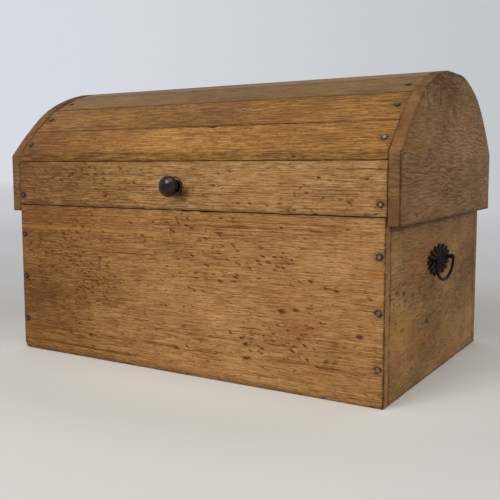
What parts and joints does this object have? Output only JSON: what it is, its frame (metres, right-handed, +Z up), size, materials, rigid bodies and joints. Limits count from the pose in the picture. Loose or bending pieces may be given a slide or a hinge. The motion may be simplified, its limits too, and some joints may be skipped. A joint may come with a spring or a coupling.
{
  "type": "dome-topped storage chest",
  "caption": "Nailed oak storage chest with a coopered dome lid on back hinges, a turned front knob and a drop bail handle on each end.",
  "frame": {"origin": "middle of the flat underside, on the floor", "axes": "+X along the chest's length to its right, -Y towards the front with the knob, +Z up"},
  "size_m": [0.808, 0.5526, 0.5206],
  "materials": {
    "front_oak": "waxed oak, honey brown",
    "end_oak": "waxed oak, darker",
    "stave_oak": "waxed oak, honey brown",
    "cheek_oak": "waxed oak, rippled figure",
    "inner_oak": "bare oak",
    "nail_iron": "worn wrought iron",
    "knob_iron": "dark polished iron",
    "handle_iron": "blackened iron",
    "hinge_iron": "blackened iron"
  },
  "bodies": {
    "box_body": {"front_board": "front_oak", "back_board": "front_oak", "left_end_board": "end_oak", "right_end_board": "end_oak", "bottom_plank_1": "inner_oak", "bottom_plank_2": "inner_oak", "bottom_plank_3": "inner_oak", "box_nail_front_left_1": "nail_iron", "box_nail_front_left_2": "nail_iron", "box_nail_front_left_3": "nail_iron", "box_nail_front_right_1": "nail_iron", "box_nail_front_right_2": "nail_iron", "box_nail_front_right_3": "nail_iron", "box_nail_back_left_1": "nail_iron", "box_nail_back_left_2": "nail_iron", "box_nail_back_left_3": "nail_iron", "box_nail_back_right_1": "nail_iron", "box_nail_back_right_2": "nail_iron", "box_nail_back_right_3": "nail_iron", "left_hinge_box_leaf": "hinge_iron", "right_hinge_box_leaf": "hinge_iron", "left_hinge_pin": "hinge_iron", "right_hinge_pin": "hinge_iron", "left_handle_plate": "handle_iron", "right_handle_plate": "handle_iron", "left_front_post": "handle_iron", "left_back_post": "handle_iron", "right_front_post": "handle_iron", "right_back_post": "handle_iron"},
    "lid_body": {"lid_front_board": "front_oak", "lid_back_board": "front_oak", "front_stave_1": "stave_oak", "front_stave_2": "stave_oak", "front_stave_3": "stave_oak", "front_stave_4": "stave_oak", "top_stave": "stave_oak", "back_stave_1": "stave_oak", "back_stave_2": "stave_oak", "back_stave_3": "stave_oak", "back_stave_4": "stave_oak", "left_former": "inner_oak", "right_former": "inner_oak", "left_cheek": "cheek_oak", "right_cheek": "cheek_oak", "lid_nail_board_left": "nail_iron", "lid_nail_board_right": "nail_iron", "lid_nail_stave_1_left": "nail_iron", "lid_nail_stave_1_right": "nail_iron", "lid_nail_stave_2_left": "nail_iron", "lid_nail_stave_2_right": "nail_iron", "lid_nail_stave_3_left": "nail_iron", "lid_nail_stave_3_right": "nail_iron", "knob": "knob_iron", "knob_nut": "hinge_iron", "left_hinge_lid_leaf": "hinge_iron", "right_hinge_lid_leaf": "hinge_iron"},
    "left_bail_body": {"left_bail": "handle_iron"},
    "right_bail_body": {"right_bail": "handle_iron"}
  },
  "joints": [
    {"name": "lid_hinge", "type": "hinge", "parent": "box_body", "child": "lid_body", "pos_m": [0, 0.2607, 0.2883], "axis": [-1, 0, 0], "range_deg": [0, 105]},
    {"name": "left_bail_swing", "type": "hinge", "parent": "box_body", "child": "left_bail_body", "pos_m": [-0.395, 0, 0.201], "axis": [0, 1, 0], "range_deg": [-8, 188]},
    {"name": "right_bail_swing", "type": "hinge", "parent": "box_body", "child": "right_bail_body", "pos_m": [0.395, 0, 0.201], "axis": [0, -1, 0], "range_deg": [-8, 188]}
  ]
}
